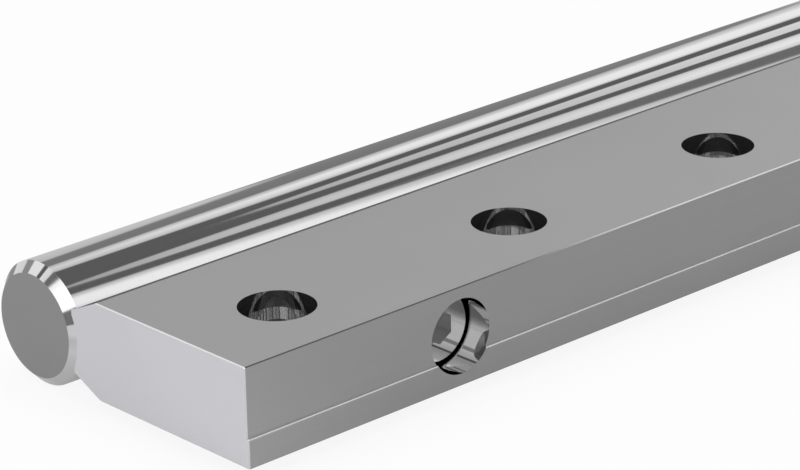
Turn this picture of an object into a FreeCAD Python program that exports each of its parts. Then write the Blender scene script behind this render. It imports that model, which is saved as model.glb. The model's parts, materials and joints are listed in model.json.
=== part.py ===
import FreeCAD, Part
import math
import os

V = FreeCAD.Vector
coincident = 1e-6

# Driving dimensions, in millimetres
# The shaft and how it lies in the rail
shaft_dia = 25.0
shaft_end_chamfer = 2.0
shaft_stand_out = 0.4
seat_clearance = 0.02
axis_distance = 62.0
axis_height = 10.0

# The rail's section
rail_length = 600.0
rail_height = 20.0
deck_width = 43.0
nose_height = 12.8
nose_land = 1.0
reference_band_height = 6.0
reference_band_stand_out = 0.4
edge_break = 0.2

# The row of base holes, and the row of screws half a base pitch on from the first of them
first_base_hole = 23.0
base_hole_pitch = 60.0
screw_pitch = 120.0
least_end_distance = 15.0
base_hole_line = 18.0
counterbore_dia = 15.0
base_counterbore_depth = 10.8
side_counterbore_depth = 13.8

# The socket head screws that hold the shaft
thread_dia = 8.0
hole_clearance = 1.0
thread_clearance = 0.1
head_dia = 14.0
head_height = 8.0
head_edge_radius = 0.3
screw_length = 45.0
screw_tip_chamfer = 1.0
socket_across_flats = 6.0
socket_depth = 4.0
socket_mouth_chamfer = 0.1
tap_run_out = 3.5
drill_point_angle = 118.0

# Values that follow from the driving dimensions
shaft_radius = shaft_dia / 2
seat_radius = shaft_radius + seat_clearance
through_hole_dia = thread_dia + hole_clearance
tapped_hole_dia = thread_dia + thread_clearance
base_hole_count = 1 + int((rail_length - first_base_hole - least_end_distance) // base_hole_pitch)
first_screw = first_base_hole + base_hole_pitch / 2
screw_count = 1 + int((rail_length - first_screw - least_end_distance) // screw_pitch)

# The origin is on the base plane, at the middle of the row of base holes
near_end_x = -(first_base_hole + base_hole_pitch * (base_hole_count - 1) / 2)
reference_y = -base_hole_line
side_face_y = reference_y + reference_band_stand_out
head_seat_y = side_face_y + side_counterbore_depth
shaft_axis_y = reference_y + axis_distance
shaft_near_y = shaft_axis_y - shaft_radius
deck_y = reference_y + deck_width
half_seat = nose_height / 2 - nose_land
nose_y = shaft_axis_y - math.sqrt(seat_radius ** 2 - half_seat ** 2)


def row(first, pitch, count):
    """Places along the rail, in X, of a row of holes whose first is this far from the near end."""
    return [near_end_x + first + pitch * i for i in range(count)]


def cylinder(diameter, length, base, direction):
    return Part.makeCylinder(diameter / 2, length, base, direction)


def broken_corner(before, corner, after):
    """The two points that a chamfer of the edge break leaves in place of a corner."""
    back = (before - corner).normalize() * edge_break
    ahead = (after - corner).normalize() * edge_break
    return [corner + back, corner + ahead]


def rail_outline():
    """The rail's section at the near end, as one closed wire round the material."""
    x = near_end_x
    seat_top = V(x, nose_y, axis_height + half_seat)
    seat_bottom = V(x, nose_y, axis_height - half_seat)
    nose_top = V(x, nose_y, axis_height + nose_height / 2)
    nose_bottom = V(x, nose_y, axis_height - nose_height / 2)
    base_outer = V(x, reference_y, 0)
    base_inner = V(x, deck_y, 0)
    deck_outer = V(x, side_face_y, rail_height)
    deck_inner = V(x, deck_y, rail_height)
    band_top = V(x, reference_y, reference_band_height)
    band_root = V(x, side_face_y, reference_band_height)
    points = [seat_top, nose_top, deck_inner]
    points += broken_corner(deck_inner, deck_outer, band_root)
    points += [band_root, band_top]
    points += broken_corner(band_top, base_outer, base_inner)
    points += [base_inner, nose_bottom, seat_bottom]
    edges = [Part.makeLine(a, b) for a, b in zip(points, points[1:])]
    seat_middle = V(x, shaft_axis_y - seat_radius, axis_height)
    edges.append(Part.Arc(seat_bottom, seat_middle, seat_top).toShape())
    return Part.Wire(edges)


def band_rounding():
    """The tool that rounds the top edge of the reference band over its whole width."""
    radius = reference_band_stand_out
    corner = V(near_end_x, reference_y, reference_band_height - radius)
    waste = Part.makeBox(rail_length, radius, radius, corner)
    return waste.cut(cylinder(2 * radius, rail_length, corner + V(0, radius, 0), V(1, 0, 0)))


def counterbored_hole(mouth, direction, mouth_depth, length):
    """The tool that cuts a screw's clearance hole and the counterbore at its mouth."""
    hole = cylinder(through_hole_dia, length, mouth, direction)
    return hole.fuse(cylinder(counterbore_dia, mouth_depth, mouth, direction))


def make_support_rail():
    """The rail: its ends are chamfered round the deck, the side and the base, but not along the nose."""
    bar = Part.Face(rail_outline()).extrude(V(rail_length, 0, 0))
    across = [e for e in bar.Edges if abs(e.Vertexes[0].X - e.Vertexes[-1].X) < coincident]
    end_edges = [e for e in across if all(v.Y < deck_y + coincident for v in e.Vertexes)]
    bar = bar.makeChamfer(edge_break, end_edges)
    tools = [band_rounding()]
    tools += [counterbored_hole(V(x, 0, rail_height), V(0, 0, -1), base_counterbore_depth, rail_height)
              for x in row(first_base_hole, base_hole_pitch, base_hole_count)]
    head_pocket_depth = reference_band_stand_out + side_counterbore_depth
    tools += [counterbored_hole(V(x, reference_y, axis_height), V(0, 1, 0), head_pocket_depth, axis_distance)
              for x in row(first_screw, screw_pitch, screw_count)]
    return bar.cut(tools)


def make_shaft():
    """The round shaft with its chamfered ends and a tapped hole at each screw."""
    length = rail_length + 2 * shaft_stand_out
    start = V(near_end_x - shaft_stand_out, shaft_axis_y, axis_height)
    bar = cylinder(shaft_dia, length, start, V(1, 0, 0))
    end_edges = [e for e in bar.Edges if e.Closed]
    bar = bar.makeChamfer(shaft_end_chamfer, end_edges)
    tapped_length = head_seat_y + screw_length + tap_run_out - shaft_near_y
    point_length = tapped_hole_dia / 2 / math.tan(math.radians(drill_point_angle / 2))
    holes = []
    for x in row(first_screw, screw_pitch, screw_count):
        mouth = V(x, shaft_near_y, axis_height)
        floor = mouth + V(0, tapped_length, 0)
        holes.append(cylinder(tapped_hole_dia, tapped_length, mouth, V(0, 1, 0)))
        holes.append(Part.makeCone(tapped_hole_dia / 2, 0, point_length, floor, V(0, 1, 0)))
    return bar.cut(holes)


def make_screw(x):
    """One socket head screw, its head seated on the floor of the side counterbore."""
    radius = thread_dia / 2
    tip = head_seat_y + screw_length
    head_face = head_seat_y - head_height
    head_radius = head_dia / 2
    r = head_edge_radius
    turn = r * (1 - math.sqrt(0.5))
    outline = [
        Part.makeLine(V(x, head_face, axis_height), V(x, head_face, axis_height + head_radius - r)),
        Part.Arc(V(x, head_face, axis_height + head_radius - r),
                 V(x, head_face + turn, axis_height + head_radius - turn),
                 V(x, head_face + r, axis_height + head_radius)).toShape(),
    ]
    corners = [
        V(x, head_face + r, axis_height + head_radius),
        V(x, head_seat_y, axis_height + head_radius),
        V(x, head_seat_y, axis_height + radius),
        V(x, tip - screw_tip_chamfer, axis_height + radius),
        V(x, tip, axis_height + radius - screw_tip_chamfer),
        V(x, tip, axis_height),
        V(x, head_face, axis_height),
    ]
    outline += [Part.makeLine(a, b) for a, b in zip(corners, corners[1:])]
    body = Part.Face(Part.Wire(outline)).revolve(V(x, 0, axis_height), V(0, 1, 0), 360)
    return body.cut(make_socket(x, head_face))


def make_socket(x, head_face):
    """The hexagon recess in the head, with a drilled cone at its floor and a small lead-in at its mouth."""
    corner_radius = socket_across_flats / math.sqrt(3)
    middle = V(x, head_face, axis_height)
    turns = [math.radians(30 + 60 * i) for i in range(7)]
    corners = [middle + V(math.cos(a), 0, math.sin(a)) * corner_radius for a in turns]
    hexagon = Part.Face(Part.makePolygon(corners)).extrude(V(0, socket_depth, 0))
    cone_depth = socket_across_flats / 2 / math.tan(math.radians(drill_point_angle / 2))
    floor = Part.makeCone(socket_across_flats / 2, 0, cone_depth, middle + V(0, socket_depth, 0), V(0, 1, 0))
    mouth_radius = corner_radius + socket_mouth_chamfer
    lead_in = Part.makeCone(mouth_radius, 0, mouth_radius, middle, V(0, 1, 0))
    return hexagon.fuse([floor, lead_in])


os.makedirs("parts", exist_ok=True)
make_support_rail().exportStep("parts/support_rail.step")
make_shaft().exportStep("parts/shaft.step")
for number, place in enumerate(row(first_screw, screw_pitch, screw_count), start=1):
    make_screw(place).exportStep(f"parts/shaft_screw_{number}.step")
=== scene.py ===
import json
import math

import bmesh
import bpy
from mathutils import Matrix, Vector


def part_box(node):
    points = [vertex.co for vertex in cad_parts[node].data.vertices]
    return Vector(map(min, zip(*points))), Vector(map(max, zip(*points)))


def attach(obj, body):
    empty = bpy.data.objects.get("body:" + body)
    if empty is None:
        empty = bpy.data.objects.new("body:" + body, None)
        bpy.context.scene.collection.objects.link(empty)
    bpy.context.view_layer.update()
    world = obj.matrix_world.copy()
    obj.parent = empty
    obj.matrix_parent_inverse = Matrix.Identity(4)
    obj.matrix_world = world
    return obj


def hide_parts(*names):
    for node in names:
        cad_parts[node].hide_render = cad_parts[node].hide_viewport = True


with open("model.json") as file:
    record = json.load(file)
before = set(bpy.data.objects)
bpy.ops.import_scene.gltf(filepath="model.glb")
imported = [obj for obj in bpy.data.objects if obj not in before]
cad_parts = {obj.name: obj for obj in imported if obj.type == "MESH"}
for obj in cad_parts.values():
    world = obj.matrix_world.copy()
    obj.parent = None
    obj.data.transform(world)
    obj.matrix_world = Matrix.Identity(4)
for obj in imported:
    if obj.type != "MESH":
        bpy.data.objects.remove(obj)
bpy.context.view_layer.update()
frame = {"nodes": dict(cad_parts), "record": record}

MM = 0.001

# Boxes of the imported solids
rail_low, rail_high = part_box("support_rail")
shaft_low, shaft_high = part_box("shaft")
screw_names = sorted(n for n in frame["nodes"] if n.startswith("shaft_screw"))
screw_low, screw_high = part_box(screw_names[0])

# Sizes and places read from the record's mounts
mounts = {m["name"]: m for m in frame["record"]["mounts"]}
bolt_mounts = [m for m in mounts.values() if m["kind"] == "bolt_pattern"]
bolt_spacings = [m["dims"]["spacing_x_mm"] * MM for m in bolt_mounts]
HOLE_RADIUS = bolt_mounts[0]["dims"]["hole_r_mm"] * MM
BASE_HOLES = sorted(side * spacing / 2 for spacing in bolt_spacings for side in (-1, 1))
running_surface = mounts["shaft_running_surface"]
SHAFT_RADIUS = running_surface["dims"]["r_mm"] * MM
AXIS_Y, AXIS_Z = running_surface["pos_m"][1:]

# The rail's section, its counterbores and the shaft's chamfer
DECK_WIDTH = 43.0 * MM
NOSE_HEIGHT = 12.8 * MM
BAND_HEIGHT = 6.0 * MM
BAND_STAND_OUT = 0.4 * MM
EDGE_BREAK = 0.2 * MM
SEAT_CLEARANCE = 0.02 * MM
COUNTERBORE_RADIUS = 7.5 * MM
BASE_COUNTERBORE_DEPTH = 10.8 * MM
SHAFT_CHAMFER = 2.0 * MM

# The screws, of which the first is half a hole pitch on from the first base hole
SCREW_PITCH = 120.0 * MM
FIRST_SCREW = (BASE_HOLES[0] + BASE_HOLES[1]) / 2
SCREW_PLACES = [FIRST_SCREW + SCREW_PITCH * i for i in range(len(screw_names))]
HEAD_RADIUS = 7.0 * MM
HEAD_HEIGHT = 8.0 * MM
HEAD_EDGE_RADIUS = 0.3 * MM
THREAD_RADIUS = 4.0 * MM
THREAD_CLEARANCE = 0.05 * MM
TAP_RUN_OUT = 3.5 * MM
TIP_CHAMFER = 1.0 * MM
SOCKET_FLATS = 6.0 * MM
SOCKET_DEPTH = 4.0 * MM
HEAD_FACE_Y = screw_low.y
HEAD_SEAT_Y = HEAD_FACE_Y + HEAD_HEIGHT
SCREW_TIP_Y = screw_high.y

# The cone that a drill leaves, whose tip is a very small flat
DRILL_POINT_ANGLE = 118.0
DRILL_SLOPE = math.tan(math.radians(DRILL_POINT_ANGLE / 2))
POINT_RADIUS = 0.01 * MM

# How finely round forms are divided. The base holes' walls are flat strips, as in the photograph.
SHAFT_SIDES = 256
HOLE_SIDES = 128
BASE_HOLE_STRIPS = 96
ROUND_STEPS = 8
SEAT_STEPS = 24

# How far a cutting tool reaches past a face, how near two places count as one, and the angle from which an
# edge stays sharp
CUT_SPARE = 1.0 * MM
COINCIDENT = 0.001 * MM
SHARP_ANGLE = math.radians(30.0)

# The photograph's camera, fitted to the rail's edges and holes, with its angles in radians
IMAGE_WIDTH = 800
FOCAL_PIXELS = 3673.9
SENSOR_WIDTH_MM = 36.0
CAMERA_FROM_CORNER = Vector((-382.66, -463.00, 281.09)) * MM
CAMERA_HEADING = 0.8335
CAMERA_DIP = 0.3751
CAMERA_ROLL = -0.0225

# The nearest and the farthest distance that the camera shows, in metres
CLIP_START, CLIP_END = 0.01, 100.0


class Nodes:
    """A small helper that adds shader nodes to one tree and joins them."""

    def __init__(self, tree):
        self.tree = tree
        self.tree.nodes.clear()

    def add(self, kind, inputs=None, **settings):
        node = self.tree.nodes.new(kind)
        for name, value in settings.items():
            setattr(node, name, value)
        for key, value in (inputs or {}).items():
            self.put(node.inputs[key], value)
        return node

    def put(self, socket, value):
        if isinstance(value, bpy.types.NodeSocket):
            self.tree.links.new(value, socket)
        else:
            socket.default_value = value

    def math(self, operation, a, b=0.0):
        return self.add("ShaderNodeMath", {0: a, 1: b}, operation=operation).outputs[0]

    def ramp(self, value, from_min, from_max, to_min, to_max):
        node = self.add("ShaderNodeMapRange", {
            "Value": value, "From Min": from_min, "From Max": from_max, "To Min": to_min, "To Max": to_max})
        return node.outputs["Result"]

    def below(self, value, limit, soft):
        """1 where value is less than the limit and 0 where it is more, with a soft edge."""
        return self.ramp(value, limit - soft / 2, limit + soft / 2, 1.0, 0.0)

    def mix(self, factor, a, b):
        return self.add("ShaderNodeMix", {0: factor, 2: a, 3: b}, data_type="FLOAT").outputs[0]

    def noise(self, vector, scale, detail=2.0):
        node = self.add("ShaderNodeTexNoise", {"Vector": vector, "Scale": scale, "Detail": detail})
        return node.outputs["Fac"]

    def stretched(self, vector, x, y, z):
        node = self.add("ShaderNodeVectorMath", {0: vector, 1: (x, y, z)}, operation="MULTIPLY")
        return node.outputs[0]

    def place(self):
        return self.add("ShaderNodeTexCoord").outputs["Object"]

    def distance(self, a, b):
        """The length of the two numbers taken as sides of a right angle."""
        return self.math("SQRT", self.math("ADD", self.math("MULTIPLY", a, a), self.math("MULTIPLY", b, b)))

    def tinted(self, value, tint):
        channels = zip(("Red", "Green", "Blue"), tint)
        parts = {name: self.math("MULTIPLY", value, share) for name, share in channels}
        return self.add("ShaderNodeCombineColor", parts).outputs[0]


# The part of a noise's range that grain and clouds use, and the shares of grey that clouds lie between
GRAIN_SPAN = (0.3, 0.7)
CLOUD_SPAN = (0.988, 1.012)

# Grains and clouds to the metre, along X, Y and Z where there are three
DRAWN_LINES = (6.0, 2600.0, 2600.0)
SAW_LINES = (900.0, 3200.0, 500.0)
GROUND_LINES = (5200.0, 30.0, 30.0)
TURNED_RINGS = 5200.0
FINE_GRAINS = 1800.0
CLOUDS = 40.0

# Shares of red, green and blue
NEUTRAL = (1.0, 1.0, 1.0)
COOL = (1.0, 0.998, 1.008)
VIOLET = (1.0, 0.985, 1.03)


def metal(name, grain_of, grey, roughness, relief, tint=NEUTRAL, metallic=1.0):
    """A metal. grain_of(nodes) gives its grain, which moves its grey and roughness and makes its relief."""
    material = bpy.data.materials.new(name)
    material.use_nodes = True
    nodes = Nodes(material.node_tree)
    grain = grain_of(nodes)
    cloud = nodes.noise(nodes.place(), CLOUDS)
    shade = nodes.ramp(grain, *GRAIN_SPAN, *grey)
    value = nodes.math("MULTIPLY", shade, nodes.ramp(cloud, *GRAIN_SPAN, *CLOUD_SPAN))
    bump = nodes.add("ShaderNodeBump", {"Height": grain, "Distance": relief, "Strength": 1.0})
    shader = nodes.add("ShaderNodeBsdfPrincipled", {
        "Base Color": nodes.tinted(value, tint), "Roughness": nodes.ramp(grain, *GRAIN_SPAN, *roughness),
        "Metallic": metallic, "Normal": bump.outputs["Normal"]})
    output = nodes.add("ShaderNodeOutputMaterial")
    nodes.put(output.inputs["Surface"], shader.outputs[0])
    return material


def drawn_lines(nodes):
    """Fine lines along the bar."""
    return nodes.noise(nodes.stretched(nodes.place(), *DRAWN_LINES), 1.0, detail=3.0)


def saw_lines(nodes):
    """Fine upright lines across an end face."""
    return nodes.noise(nodes.stretched(nodes.place(), *SAW_LINES), 1.0)


def fine_grain(nodes):
    """An even grain."""
    return nodes.noise(nodes.place(), FINE_GRAINS)


def ground_lines(nodes):
    """Very fine lines round the shaft."""
    return nodes.noise(nodes.stretched(nodes.place(), *GROUND_LINES), 1.0)


def turned_rings(nodes):
    """Fine rings about the shaft's axis."""
    xyz = nodes.add("ShaderNodeSeparateXYZ", {0: nodes.place()}).outputs
    across = nodes.math("SUBTRACT", xyz["Y"], AXIS_Y)
    upwards = nodes.math("SUBTRACT", xyz["Z"], AXIS_Z)
    outwards = nodes.math("MULTIPLY", nodes.distance(across, upwards), TURNED_RINGS)
    return nodes.noise(nodes.add("ShaderNodeCombineXYZ", {0: outwards}).outputs[0], 1.0)


# The slots of the rail, the shaft and the screws, in the order of the finishes below
MILLED, CUT_END_PAINTED_LIGHT, EDGE, BORED, REAMED, ROUNDED, SHADE_PAINTED = range(7)
GROUND, TURNED = range(2)
PLATED, PRESSED = range(2)


def rail_finishes():
    """Milled faces, cut ends in a lighter grey that is partly painted light, broken edges, walls of the base
    holes and of the side holes, the rounded step, and the bevels and lower edges, which lie in shade and
    take a darker grey that is painted shade."""
    return [
        metal("milled_aluminium", drawn_lines, grey=(0.325, 0.340), roughness=(0.47, 0.55),
              relief=0.002 * MM, tint=COOL, metallic=0.3),
        # The cut ends keep their own saw lines. Their grey is set lighter than the milled faces as painted
        # light, for the brighter light that falls on the ends.
        metal("cut_aluminium_painted_light", saw_lines, grey=(0.665, 0.682), roughness=(0.47, 0.55), relief=0.002 * MM,
              tint=VIOLET),
        metal("edge_aluminium", drawn_lines, grey=(0.60, 0.63), roughness=(0.04, 0.06), relief=0.0002 * MM),
        metal("bored_aluminium", fine_grain, grey=(0.59, 0.61), roughness=(0.02, 0.035), relief=0.00002 * MM,
              metallic=0.98),
        metal("reamed_aluminium", fine_grain, grey=(0.61, 0.63), roughness=(0.02, 0.035),
              relief=0.00002 * MM),
        metal("rounded_aluminium", drawn_lines, grey=(0.60, 0.63), roughness=(0.17, 0.21),
              relief=0.0002 * MM, metallic=0.8),
        # A darker copy of the milled aluminium: painted shade for the shade that the bevels and lower edges
        # lie in.
        metal("aluminium_painted_shade", drawn_lines, grey=(0.21, 0.23), roughness=(0.47, 0.55), relief=0.002 * MM),
    ]


def shaft_finishes():
    """Ground jacket and chamfers, and turned end faces."""
    return [
        metal("ground_steel", ground_lines, grey=(0.595, 0.615), roughness=(0.045, 0.065),
              relief=0.00002 * MM, tint=COOL),
        metal("turned_steel", turned_rings, grey=(0.292, 0.313), roughness=(0.45, 0.55), relief=0.002 * MM,
              tint=COOL),
    ]


def screw_finishes():
    """Plated outside, and pressed socket."""
    return [
        metal("plated_steel", fine_grain, grey=(0.60, 0.63), roughness=(0.04, 0.07), relief=0.00005 * MM,
              tint=COOL),
        metal("pressed_steel", fine_grain, grey=(0.55, 0.60), roughness=(0.42, 0.52), relief=0.001 * MM,
              metallic=0.6),
    ]


# Along the rail, from the reference edge towards the shaft, and down
ALONG, INWARD, DOWN = Vector((1, 0, 0)), Vector((0, 1, 0)), Vector((0, 0, -1))


def circle(centre, radius, axis, sides):
    """Points round a circle that faces along this axis."""
    across = Vector((0, 0, 1)) if axis.z == 0 else Vector((1, 0, 0))
    over = axis.cross(across)
    turns = [2 * math.pi * i / sides for i in range(sides)]
    return [centre + across * (radius * math.cos(t)) + over * (radius * math.sin(t)) for t in turns]


def solid(name, rings, materials, slot_of):
    """A closed solid through rings of as many points each. slot_of(strip, side) gives a face's slot, and
    strip is None for the two ends."""
    builder = bmesh.new()
    loops = [[builder.verts.new(point) for point in ring] for ring in rings]
    count = len(rings[0])
    for strip, (first, second) in enumerate(zip(loops, loops[1:])):
        for side in range(count):
            after = (side + 1) % count
            face = builder.faces.new((first[side], first[after], second[after], second[side]))
            face.material_index = slot_of(strip, side)
    for end in (loops[0], loops[-1]):
        builder.faces.new(end).material_index = slot_of(None, 0)
    bmesh.ops.recalc_face_normals(builder, faces=builder.faces)
    return placed(name, builder, materials)


def placed(name, builder, materials):
    """The object that holds the builder's mesh, with these materials in its slots."""
    mesh = bpy.data.meshes.new(name)
    for material in materials:
        mesh.materials.append(material)
    builder.to_mesh(mesh)
    builder.free()
    piece = bpy.data.objects.new(name, mesh)
    bpy.context.scene.collection.objects.link(piece)
    return piece


def turned(name, profile, base, axis, sides, materials, slot):
    """A solid of revolution. profile lists (distance along the axis, radius) from one end to the other."""
    rings = [circle(base + axis * along, radius, axis, sides) for along, radius in profile]
    return solid(name, rings, materials, lambda strip, side: slot)


def remove(piece):
    mesh = piece.data
    bpy.data.objects.remove(piece)
    bpy.data.meshes.remove(mesh)


def cut(piece, cutters):
    """Cuts the cutters out of the piece, with each new face in its cutter's slot, and removes them."""
    builder = bmesh.new()
    for cutter in cutters:
        builder.from_mesh(cutter.data)
    tool = placed("tool", builder, piece.data.materials)
    modifier = piece.modifiers.new("cut", "BOOLEAN")
    modifier.operation = "DIFFERENCE"
    modifier.solver = "EXACT"
    modifier.material_mode = "INDEX"
    modifier.object = tool
    depsgraph = bpy.context.evaluated_depsgraph_get()
    whole = bpy.data.meshes.new_from_object(piece.evaluated_get(depsgraph))
    piece.modifiers.clear()
    old = piece.data
    piece.data = whole
    bpy.data.meshes.remove(old)
    whole.name = piece.name
    for extra in (tool, *cutters):
        remove(extra)


def finish_piece(piece, node, flat=()):
    """Shades the piece, smooth but for its slots in flat, and lets it stand for its node."""
    smooth = [face.material_index not in flat for face in piece.data.polygons]
    piece.data.polygons.foreach_set("use_smooth", smooth)
    piece.data.set_sharp_from_angle(angle=SHARP_ANGLE)
    even = piece.modifiers.new("even_normals", "WEIGHTED_NORMAL")
    even.mode = "FACE_AREA"
    even.keep_sharp = True
    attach(piece, "root")
    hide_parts(node)


def arc(centre, radius, first, last, steps):
    """Points in (y, z) along an arc, from one angle to the other, in degrees."""
    turns = [math.radians(first + (last - first) * i / steps) for i in range(steps + 1)]
    return [centre + Vector((math.cos(t), math.sin(t))) * radius for t in turns]


def broken_corner(before, corner, after):
    """The two points that a chamfer of the edge break leaves in place of a corner."""
    back = (before - corner).normalized() * EDGE_BREAK
    ahead = (after - corner).normalized() * EDGE_BREAK
    return [corner + back, corner + ahead]


def rail_section():
    """The rail's section in (y, z), and the slot of the side that starts at each point."""
    side_y, nose_y = rail_low.y + BAND_STAND_OUT, rail_high.y
    deck_y = rail_low.y + DECK_WIDTH
    deck_z = rail_high.z
    seat_radius = SHAFT_RADIUS + SEAT_CLEARANCE
    seat_angle = math.degrees(math.acos((AXIS_Y - nose_y) / seat_radius))
    seat = arc(Vector((AXIS_Y, AXIS_Z)), seat_radius, 180 + seat_angle, 180 - seat_angle, SEAT_STEPS)
    step_centre = Vector((side_y, BAND_HEIGHT - BAND_STAND_OUT))
    step = arc(step_centre, BAND_STAND_OUT, 90, 180, ROUND_STEPS)
    nose_top, nose_bottom = (Vector((nose_y, AXIS_Z + side * NOSE_HEIGHT / 2)) for side in (1, -1))
    deck_inner, deck_outer = Vector((deck_y, deck_z)), Vector((side_y, deck_z))
    base_outer, base_inner = Vector((rail_low.y, 0)), Vector((deck_y, 0))

    # The points of each corner, the slot of the sides between them and the slot of the side that follows
    corners = [
        # The upper and lower bevels and the bottom broken edge take the darker aluminium, which is painted
        # shade.
        ([nose_top], MILLED, SHADE_PAINTED),
        ([deck_inner], MILLED, MILLED),
        (broken_corner(deck_inner, deck_outer, step[0]), EDGE, MILLED),
        (step, ROUNDED, MILLED),
        (broken_corner(step[-1], base_outer, base_inner), SHADE_PAINTED, MILLED),
        ([base_inner], MILLED, SHADE_PAINTED),
        ([nose_bottom], MILLED, MILLED),
    ]
    points, slots = list(seat), [MILLED] * len(seat)
    for corner, own_slot, next_slot in corners:
        points += corner
        slots += [own_slot] * (len(corner) - 1) + [next_slot]
    return points, slots


def chamfered_end(points):
    """The closed outline with each side moved inwards by the edge break, but for those of the nose."""
    deck_y = rail_low.y + DECK_WIDTH
    moved = []
    for before, here, after in zip(points[-1:] + points[:-1], points, points[1:] + points[:1]):
        a, b = (here - before).normalized(), (after - here).normalized()
        normal_a, normal_b = Vector((-a.y, a.x)), Vector((-b.y, b.x))
        turn = normal_a.dot(normal_b)
        share_a = 0.0 if max(before.x, here.x) > deck_y + COINCIDENT else EDGE_BREAK
        share_b = 0.0 if max(here.x, after.x) > deck_y + COINCIDENT else EDGE_BREAK

        # Each point goes to where its two moved sides meet
        if share_a == share_b:
            moved.append(here + (normal_a + normal_b) * (share_a / (1 + turn)))
        else:
            part_a, part_b = share_a - share_b * turn, share_b - share_a * turn
            moved.append(here + (normal_a * part_a + normal_b * part_b) / (1 - turn * turn))
    return moved


def counterbored_hole(mouth, direction, depth, length, sides, materials, slot):
    """The tool of a counterbored hole, which starts a little outside its mouth."""
    profile = [(-CUT_SPARE, COUNTERBORE_RADIUS), (depth, COUNTERBORE_RADIUS),
               (depth, HOLE_RADIUS), (length, HOLE_RADIUS)]
    return turned("hole", profile, mouth, direction, sides, materials, slot)


def make_rail():
    points, slots = rail_section()
    inner = chamfered_end(points)
    near, far = rail_low.x, rail_high.x
    stations = [(near, inner), (near + EDGE_BREAK, points), (far - EDGE_BREAK, points), (far, inner)]
    rings = [[Vector((x, p.x, p.y)) for p in outline] for x, outline in stations]

    def slot_of(strip, side):
        # The end faces take the cut aluminium, whose lighter grey is partly painted light.
        if strip is None:
            return CUT_END_PAINTED_LIGHT
        if strip == 1:
            return slots[side]
        # The end chamfers along the base take the darker aluminium, which is painted shade.
        at_base = max(points[side].y, points[(side + 1) % len(points)].y) < EDGE_BREAK / 2
        return SHADE_PAINTED if at_base else EDGE

    materials = rail_finishes()
    rail = solid("rail_body", rings, materials, slot_of)
    base_length = rail_high.z + CUT_SPARE
    head_pocket_depth = HEAD_SEAT_Y - rail_low.y
    side_length = AXIS_Y - rail_low.y
    holes = [counterbored_hole(Vector((x, 0, rail_high.z)), DOWN, BASE_COUNTERBORE_DEPTH, base_length,
                               BASE_HOLE_STRIPS, materials, BORED) for x in BASE_HOLES]
    holes += [counterbored_hole(Vector((x, rail_low.y, AXIS_Z)), INWARD, head_pocket_depth, side_length,
                                HOLE_SIDES, materials, REAMED) for x in SCREW_PLACES]
    cut(rail, holes)
    finish_piece(rail, "support_rail", flat={BORED})


def make_shaft():
    near, far = shaft_low.x, shaft_high.x
    face_radius = SHAFT_RADIUS - SHAFT_CHAMFER
    profile = [(near, face_radius), (near + SHAFT_CHAMFER, SHAFT_RADIUS),
               (far - SHAFT_CHAMFER, SHAFT_RADIUS), (far, face_radius)]
    rings = [circle(Vector((x, AXIS_Y, AXIS_Z)), radius, ALONG, SHAFT_SIDES) for x, radius in profile]
    materials = shaft_finishes()
    shaft = solid("ground_shaft", rings, materials, lambda strip, side: TURNED if strip is None else GROUND)
    radius = THREAD_RADIUS + THREAD_CLEARANCE
    mouth_y = AXIS_Y - SHAFT_RADIUS
    depth = SCREW_TIP_Y + TAP_RUN_OUT - mouth_y
    point = radius / DRILL_SLOPE
    tapped = [(-CUT_SPARE, radius), (depth, radius), (depth + point, POINT_RADIUS)]
    cut(shaft, [turned("tap", tapped, Vector((x, mouth_y, AXIS_Z)), INWARD, HOLE_SIDES, materials, GROUND)
                for x in SCREW_PLACES])
    finish_piece(shaft, "shaft")


def make_screw(name, node, x, materials):
    """One socket head screw at its place, with its hexagon socket."""
    face = Vector((x, HEAD_FACE_Y, AXIS_Z))
    length = SCREW_TIP_Y - HEAD_FACE_Y
    rim = [(HEAD_EDGE_RADIUS * (1 - math.sin(t)), HEAD_RADIUS - HEAD_EDGE_RADIUS * (1 - math.cos(t)))
           for t in [math.radians(90 - 90 * i / ROUND_STEPS) for i in range(ROUND_STEPS + 1)]]
    profile = rim + [(HEAD_HEIGHT, HEAD_RADIUS), (HEAD_HEIGHT, THREAD_RADIUS),
                     (length - TIP_CHAMFER, THREAD_RADIUS), (length, THREAD_RADIUS - TIP_CHAMFER)]
    screw = turned(name, profile, face, INWARD, HOLE_SIDES, materials, PLATED)
    flat_radius = SOCKET_FLATS / 2
    corner_radius = SOCKET_FLATS / math.sqrt(3)
    hexagon = [circle(face + INWARD * y, corner_radius, INWARD, 6) for y in (-CUT_SPARE, SOCKET_DEPTH)]
    floor = [(SOCKET_DEPTH - CUT_SPARE, flat_radius), (SOCKET_DEPTH, flat_radius),
             (SOCKET_DEPTH + flat_radius / DRILL_SLOPE, POINT_RADIUS)]
    cut(screw, [solid("hexagon", hexagon, materials, lambda strip, side: PRESSED)])
    cut(screw, [turned("floor", floor, face, INWARD, HOLE_SIDES, materials, PRESSED)])
    finish_piece(screw, node)


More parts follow.
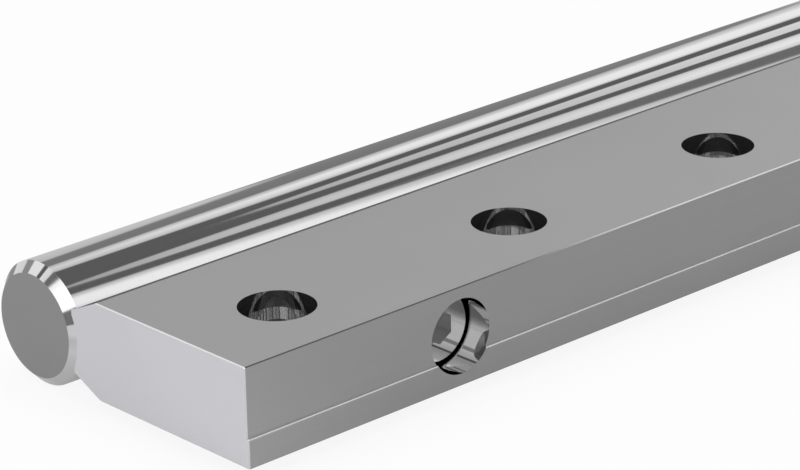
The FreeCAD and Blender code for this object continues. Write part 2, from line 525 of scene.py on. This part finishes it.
# The studio's tall soft panels: first and last azimuth from +X, top elevation, strength, and the width over
# which the side edges fade, all angles in degrees. Where two overlap, their light adds up.
PANELS = [
    (-87.0, -50.5, 90.0, 0.60, 1.5),
    (-50.5, -38.9, 90.0, 0.72, 1.5),
    (-52.5, -43.0, 90.0, 0.47, 4.0),
    (-38.9, -29.2, 39.0, 0.06, 1.5),
    (-29.3, -11.9, 53.6, 0.94, 1.5),
    (-25.0, -15.0, 53.6, 0.18, 3.0),
    (-1.1, 15.1, 52.9, 1.04, 1.5),
    (25.8, 44.0, 90.0, 0.60, 1.5),
    (27.5, 40.4, 90.0, 0.52, 5.0),
    (44.0, 53.0, 90.0, 0.12, 1.5),
    (53.0, 58.0, 90.0, 0.58, 1.5),
    (58.0, 69.0, 90.0, 0.34, 1.5),
    (69.0, 83.0, 90.0, 0.22, 1.5),
    (83.0, 98.0, 90.0, 0.85, 1.5),
    (98.0, 108.6, 90.0, 0.23, 1.5),
    (108.6, 127.5, 90.0, 1.05, 1.5),
    (136.0, 150.0, 90.0, 1.15, 1.5),
    (150.0, 208.3, 45.2, 1.62, 1.5),
    (208.3, 219.0, 38.0, 0.09, 1.5),
    (219.0, 236.0, 38.0, 0.88, 1.5),
    (236.0, 244.0, 90.0, 0.25, 1.5),
    (244.0, 265.5, 90.0, 0.95, 1.5),
]

# Where azimuths start, and the degrees over which the panels' top edges fade
FIRST_AZIMUTH = -90.0
TOP_EDGE = 0.8

# Above this elevation each side draws in by this share of the square of the degrees above it
TAPER_FROM, TAPER = 47.0, 0.14

# The panels' light falls to its dimmest share between two elevations
DIM_FROM, DIM_TO, DIMMEST = 40.0, 56.0, 0.34

# What polished metal sees between the panels, and what lights the rest from all round
ROOM_GREY = 0.16
DIFFUSE_GREY = 0.5


def make_world():
    """A grey room with tall soft panels for what is reflected, and plain light for the rest."""
    world = bpy.data.worlds.new("studio")
    bpy.context.scene.world = world
    world.use_nodes = True
    nodes = Nodes(world.node_tree)
    direction = nodes.add("ShaderNodeTexCoord").outputs["Generated"]
    xyz = nodes.add("ShaderNodeSeparateXYZ", {0: direction}).outputs
    azimuth = nodes.math("MULTIPLY", nodes.math("ARCTAN2", xyz["Y"], xyz["X"]), 180 / math.pi)
    elevation = nodes.math("MULTIPLY", nodes.math("ARCSINE", xyz["Z"]), 180 / math.pi)
    behind = nodes.math("MULTIPLY", nodes.math("LESS_THAN", azimuth, FIRST_AZIMUTH), 360.0)
    turn = nodes.math("ADD", azimuth, behind)
    dimming = nodes.ramp(elevation, DIM_FROM, DIM_TO, 1.0, DIMMEST)
    rise = nodes.math("MAXIMUM", nodes.math("SUBTRACT", elevation, TAPER_FROM), 0.0)
    inset = nodes.math("MULTIPLY", nodes.math("MULTIPLY", rise, rise), TAPER)
    total = 0.0
    for first, last, top, strength, side_edge in PANELS:
        from_middle = nodes.math("ABSOLUTE", nodes.math("SUBTRACT", turn, (first + last) / 2))
        inside = nodes.below(nodes.math("ADD", from_middle, inset), (last - first) / 2, side_edge)
        shape = nodes.math("MULTIPLY", inside, nodes.below(elevation, top, TOP_EDGE))
        total = nodes.math("ADD", total, nodes.math("MULTIPLY", shape, strength))
    total = nodes.math("ADD", nodes.math("MULTIPLY", total, dimming), ROOM_GREY)
    path = nodes.add("ShaderNodeLightPath").outputs
    seen = nodes.mix(path["Is Glossy Ray"], DIFFUSE_GREY, total)
    seen = nodes.mix(path["Is Camera Ray"], seen, 1.0)
    background = nodes.add("ShaderNodeBackground", {"Color": (1.0, 1.0, 1.0, 1.0), "Strength": seen})
    output = nodes.add("ShaderNodeOutputWorld")
    nodes.put(output.inputs["Surface"], background.outputs[0])


# The floor's half width in metres, its white, and how much it glows by itself to the camera and in metal
FLOOR_HALF = 6.0
FLOOR_WHITE = 0.76
CAMERA_GLOW = 0.90
MIRROR_GLOW = 0.35

# Seen in metal, the floor darkens to this shade over a stretch past the rail's near end, in metres: a
# painted shadow that stands in for the rail's shadow on the floor
PAINTED_SHADOW_SPAN = (0.005, 0.045)
PAINTED_SHADOW_SHADE = 0.25

# Seen in metal, the floor has a gloss too, stronger at flat angles, which sets in over a stretch of Y
GLOSS_COLOUR = (0.95, 0.95, 0.95, 1.0)
GLOSS_ROUGHNESS = 0.03
FACING_BLEND = 0.5
GLOSS_FACING = (0.35, 0.64)
GLOSS_SHARE = (0.05, 0.95)
GLOSS_BEHIND = (0.0, 0.06)


def make_floor():
    """A plain white floor at the shaft's lowest line, which keeps a soft shadow; seen in metal it has a
    painted shadow past the rail's near end.
    """
    half, z = FLOOR_HALF, shaft_low.z
    corners = [(-half, -half, z), (half, -half, z), (half, half, z), (-half, half, z)]
    mesh = bpy.data.meshes.new("floor")
    mesh.from_pydata(corners, [], [(0, 1, 2, 3)])
    floor = bpy.data.objects.new("floor", mesh)
    bpy.context.scene.collection.objects.link(floor)
    material = bpy.data.materials.new("floor_white")
    material.use_nodes = True
    nodes = Nodes(material.node_tree)
    glow = nodes.add("ShaderNodeEmission", {"Color": (1.0, 1.0, 1.0, 1.0), "Strength": 1.0})
    gloss = nodes.add("ShaderNodeBsdfGlossy", {"Color": GLOSS_COLOUR, "Roughness": GLOSS_ROUGHNESS})
    facing = nodes.add("ShaderNodeLayerWeight", {"Blend": FACING_BLEND}).outputs["Facing"]
    place = nodes.add("ShaderNodeSeparateXYZ", {0: nodes.place()}).outputs
    path = nodes.add("ShaderNodeLightPath").outputs
    mirrored = path["Is Glossy Ray"]
    # Painted shadow: seen in metal, the floor's white and its glow fall off past the rail's near end.
    painted_shadow_factor = nodes.ramp(place["X"], *[rail_low.x + inward for inward in PAINTED_SHADOW_SPAN], 1.0, PAINTED_SHADOW_SHADE)
    white = nodes.mix(mirrored, FLOOR_WHITE, nodes.math("MULTIPLY", painted_shadow_factor, FLOOR_WHITE))
    diffuse = nodes.add("ShaderNodeBsdfDiffuse", {"Color": nodes.tinted(white, NEUTRAL)})
    glow_share = nodes.math("ADD", nodes.math("MULTIPLY", path["Is Camera Ray"], CAMERA_GLOW),
                            nodes.math("MULTIPLY", nodes.math("MULTIPLY", mirrored, painted_shadow_factor), MIRROR_GLOW))
    paper = nodes.add("ShaderNodeMixShader", {0: glow_share, 1: diffuse.outputs[0], 2: glow.outputs[0]})
    behind = nodes.math("MULTIPLY", mirrored, nodes.ramp(place["Y"], *GLOSS_BEHIND, 0.0, 1.0))
    gloss_share = nodes.math("MULTIPLY", behind, nodes.ramp(facing, *GLOSS_FACING, *GLOSS_SHARE))
    mix = nodes.add("ShaderNodeMixShader", {0: gloss_share, 1: paper.outputs[0], 2: gloss.outputs[0]})
    output = nodes.add("ShaderNodeOutputMaterial")
    nodes.put(output.inputs["Surface"], mix.outputs[0])
    mesh.materials.append(material)


# The lamps: place, what they face, size in metres and watts
LAMPS = {
    "sky_panel": ((0.2, 0.3, 2.4), (0.0, 0.0, 0.0), 2.4, 38.0),
    "left_panel": ((-2.2, 0.8, 0.8), (-0.2, 0.0, 0.0), 1.6, 14.0),
    "front_panel": ((0.0, -2.4, 0.7), (0.0, 0.0, 0.0), 1.8, 18.0),
}


def make_lamp(name, place, target, size, watts):
    """A large soft lamp, which polished metal and the camera don't see."""
    data = bpy.data.lights.new(name, "AREA")
    data.size = size
    data.energy = watts
    light = bpy.data.objects.new(name, data)
    light.location = place
    light.rotation_euler = (Vector(target) - Vector(place)).to_track_quat("-Z", "Y").to_euler()
    light.visible_camera = False
    light.visible_glossy = False
    bpy.context.scene.collection.objects.link(light)


def make_camera():
    """The camera of the photograph: its heading, dip and roll, seen from the rail's near bottom corner."""
    data = bpy.data.cameras.new("camera")
    data.sensor_width = SENSOR_WIDTH_MM
    data.lens = FOCAL_PIXELS / IMAGE_WIDTH * SENSOR_WIDTH_MM
    data.clip_start = CLIP_START
    data.clip_end = CLIP_END
    camera = bpy.data.objects.new("camera", data)
    forward = Vector((math.cos(CAMERA_DIP) * math.cos(CAMERA_HEADING),
                      math.cos(CAMERA_DIP) * math.sin(CAMERA_HEADING), -math.sin(CAMERA_DIP)))
    level_right = Vector((math.sin(CAMERA_HEADING), -math.cos(CAMERA_HEADING), 0.0))
    level_down = forward.cross(level_right)
    right = level_right * math.cos(CAMERA_ROLL) - level_down * math.sin(CAMERA_ROLL)
    down = level_right * math.sin(CAMERA_ROLL) + level_down * math.cos(CAMERA_ROLL)
    corner = Vector((rail_low.x, rail_low.y, 0.0))
    axes = Matrix((right, -down, -forward)).transposed().to_4x4()
    camera.matrix_world = Matrix.Translation(corner + CAMERA_FROM_CORNER) @ axes
    bpy.context.scene.collection.objects.link(camera)
    bpy.context.scene.camera = camera


make_camera()
make_world()
make_floor()
for lamp_name, lamp in LAMPS.items():
    make_lamp(lamp_name, *lamp)

make_rail()
make_shaft()
screw_materials = screw_finishes()
for number, (node, x) in enumerate(zip(screw_names, SCREW_PLACES), start=1):
    make_screw(f"socket_screw_{number}", node, x, screw_materials)

bpy.context.scene.view_settings.view_transform = "Standard"
